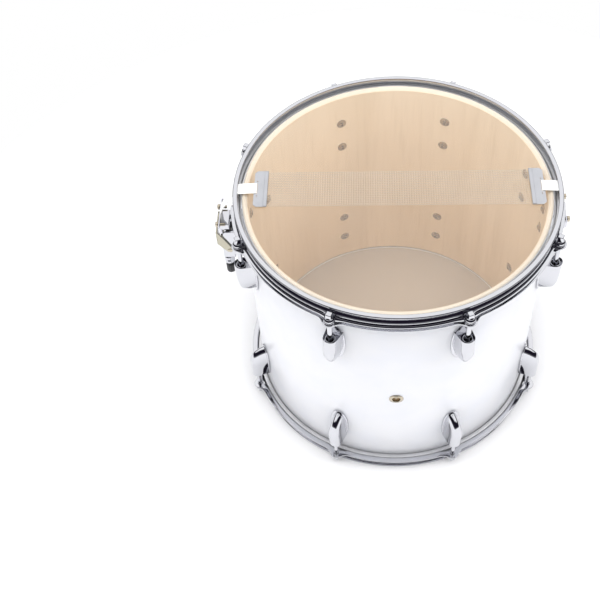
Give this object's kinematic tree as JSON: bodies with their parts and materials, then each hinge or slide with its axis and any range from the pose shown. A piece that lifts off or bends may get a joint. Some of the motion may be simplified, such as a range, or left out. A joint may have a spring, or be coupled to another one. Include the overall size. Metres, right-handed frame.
{
  "type": "marching snare drum",
  "caption": "Deep cylindrical marching snare drum with triple flanged hoops, lugs and tension rods, snare wires on straps, butt plate and throw-off strainer.",
  "frame": {"origin": "centre of the batter head's outer face", "axes": "+Z along the drum's axis towards the snare side, X along the snare wires with the strainer on the -X side and the butt plate on the +X side, air vent on the -Y side"},
  "size_m": [0.4127, 0.383, 0.3232],
  "materials": {
    "maple": "sealed",
    "white_wrap": "high gloss",
    "chrome": "mirror",
    "nickel": "satin",
    "aluminium": "satin",
    "batter_film": "coated",
    "snare_film": "clear",
    "snare_steel": "bright",
    "white_strap": "satin",
    "black_knob": "fluted",
    "zinc": "satin"
  },
  "bodies": {
    "drum": {"shell": "maple", "shell_wrap": "white_wrap", "vent_grommet": "nickel", "batter_hoop": "chrome", "snare_hoop": "chrome", "batter_head_film": "batter_film", "snare_head_film": "snare_film", "batter_flesh_hoop": "aluminium", "snare_flesh_hoop": "aluminium", "lug_batter_1": "chrome", "lug_batter_2": "chrome", "lug_batter_3": "chrome", "lug_batter_4": "chrome", "lug_batter_5": "chrome", "lug_batter_6": "chrome", "lug_batter_7": "chrome", "lug_batter_8": "chrome", "lug_snare_1": "chrome", "lug_snare_2": "chrome", "lug_snare_3": "chrome", "lug_snare_4": "chrome", "lug_snare_5": "chrome", "lug_snare_6": "chrome", "lug_snare_7": "chrome", "lug_snare_8": "chrome", "snare_wires": "snare_steel", "butt_strap": "white_strap", "butt_plate": "chrome", "butt_clamp_plate": "zinc", "butt_clamp_screw_1": "nickel", "butt_clamp_screw_2": "nickel", "strainer_strap": "white_strap", "strainer_base": "chrome", "lever_pivot_pin": "nickel"},
    "lever": {"strainer_lever": "chrome"},
    "carriage": {"strainer_carriage": "chrome"},
    "knob": {"tension_knob": "black_knob", "tension_screw": "nickel"},
    "clamp": {"strainer_clamp_block": "chrome", "strainer_clamp_plate": "zinc", "strainer_clamp_screw_1": "nickel", "strainer_clamp_screw_2": "nickel"},
    "rod_batter_1": {"tension_rod_batter_1": "chrome"},
    "rod_batter_2": {"tension_rod_batter_2": "chrome"},
    "rod_batter_3": {"tension_rod_batter_3": "chrome"},
    "rod_batter_4": {"tension_rod_batter_4": "chrome"},
    "rod_batter_5": {"tension_rod_batter_5": "chrome"},
    "rod_batter_6": {"tension_rod_batter_6": "chrome"},
    "rod_batter_7": {"tension_rod_batter_7": "chrome"},
    "rod_batter_8": {"tension_rod_batter_8": "chrome"},
    "rod_snare_1": {"tension_rod_snare_1": "chrome"},
    "rod_snare_2": {"tension_rod_snare_2": "chrome"},
    "rod_snare_3": {"tension_rod_snare_3": "chrome"},
    "rod_snare_4": {"tension_rod_snare_4": "chrome"},
    "rod_snare_5": {"tension_rod_snare_5": "chrome"},
    "rod_snare_6": {"tension_rod_snare_6": "chrome"},
    "rod_snare_7": {"tension_rod_snare_7": "chrome"},
    "rod_snare_8": {"tension_rod_snare_8": "chrome"}
  },
  "joints": [
    {"name": "throw_off_lever", "type": "hinge", "parent": "drum", "child": "lever", "pos_m": [-0.199, 0, 0.2226], "axis": [0, -1, 0], "range_deg": [0, 95]},
    {"name": "carriage_slide", "type": "slide", "parent": "drum", "child": "carriage", "axis": [0, 0, 1], "range_m": [0, 0.006], "deforming": ["strainer_strap"]},
    {"name": "tension_knob_turn", "type": "hinge", "parent": "carriage", "child": "knob", "pos_m": [-0.205, 0, 0.175], "axis": [0, 0, 1], "range_deg": [-1351, 1036]},
    {"name": "clamp_slide", "type": "slide", "parent": "carriage", "child": "clamp", "axis": [0, 0, -1], "range_m": [-0.003, 0.0023], "deforming": ["strainer_strap"]},
    {"name": "turn_rod_batter_1", "type": "hinge", "parent": "drum", "child": "rod_batter_1", "pos_m": [0.17757, 0.07355, 0], "axis": [0, 0, 1], "range_deg": [-1080, 1080]},
    {"name": "turn_rod_batter_2", "type": "hinge", "parent": "drum", "child": "rod_batter_2", "pos_m": [0.07355, 0.17757, 0], "axis": [0, 0, 1], "range_deg": [-1080, 1080]},
    {"name": "turn_rod_batter_3", "type": "hinge", "parent": "drum", "child": "rod_batter_3", "pos_m": [-0.07355, 0.17757, 0], "axis": [0, 0, 1], "range_deg": [-1080, 1080]},
    {"name": "turn_rod_batter_4", "type": "hinge", "parent": "drum", "child": "rod_batter_4", "pos_m": [-0.17757, 0.07355, 0], "axis": [0, 0, 1], "range_deg": [-1080, 1080]},
    {"name": "turn_rod_batter_5", "type": "hinge", "parent": "drum", "child": "rod_batter_5", "pos_m": [-0.17757, -0.07355, 0], "axis": [0, 0, 1], "range_deg": [-1080, 1080]},
    {"name": "turn_rod_batter_6", "type": "hinge", "parent": "drum", "child": "rod_batter_6", "pos_m": [-0.07355, -0.17757, 0], "axis": [0, 0, 1], "range_deg": [-1080, 1080]},
    {"name": "turn_rod_batter_7", "type": "hinge", "parent": "drum", "child": "rod_batter_7", "pos_m": [0.07355, -0.17757, 0], "axis": [0, 0, 1], "range_deg": [-1080, 1080]},
    {"name": "turn_rod_batter_8", "type": "hinge", "parent": "drum", "child": "rod_batter_8", "pos_m": [0.17757, -0.07355, 0], "axis": [0, 0, 1], "range_deg": [-1080, 1080]},
    {"name": "turn_rod_snare_1", "type": "hinge", "parent": "drum", "child": "rod_snare_1", "pos_m": [0.17757, -0.07355, 0.306], "axis": [0, 0, 1], "range_deg": [-1080, 1080]},
    {"name": "turn_rod_snare_2", "type": "hinge", "parent": "drum", "child": "rod_snare_2", "pos_m": [0.07355, -0.17757, 0.306], "axis": [0, 0, 1], "range_deg": [-1080, 1080]},
    {"name": "turn_rod_snare_3", "type": "hinge", "parent": "drum", "child": "rod_snare_3", "pos_m": [-0.07355, -0.17757, 0.306], "axis": [0, 0, 1], "range_deg": [-1080, 1080]},
    {"name": "turn_rod_snare_4", "type": "hinge", "parent": "drum", "child": "rod_snare_4", "pos_m": [-0.17757, -0.07355, 0.306], "axis": [0, 0, 1], "range_deg": [-1080, 1080]},
    {"name": "turn_rod_snare_5", "type": "hinge", "parent": "drum", "child": "rod_snare_5", "pos_m": [-0.17757, 0.07355, 0.306], "axis": [0, 0, 1], "range_deg": [-1080, 1080]},
    {"name": "turn_rod_snare_6", "type": "hinge", "parent": "drum", "child": "rod_snare_6", "pos_m": [-0.07355, 0.17757, 0.306], "axis": [0, 0, 1], "range_deg": [-1080, 1080]},
    {"name": "turn_rod_snare_7", "type": "hinge", "parent": "drum", "child": "rod_snare_7", "pos_m": [0.07355, 0.17757, 0.306], "axis": [0, 0, 1], "range_deg": [-1080, 1080]},
    {"name": "turn_rod_snare_8", "type": "hinge", "parent": "drum", "child": "rod_snare_8", "pos_m": [0.17757, 0.07355, 0.306], "axis": [0, 0, 1], "range_deg": [-1080, 1080]}
  ],
  "couplings": [
    {"joint": "throw_off_lever", "follows": "carriage_slide", "rad_per_m": 276.34},
    {"joint": "tension_knob_turn", "follows": "clamp_slide", "rad_per_m": 7855.5}
  ]
}
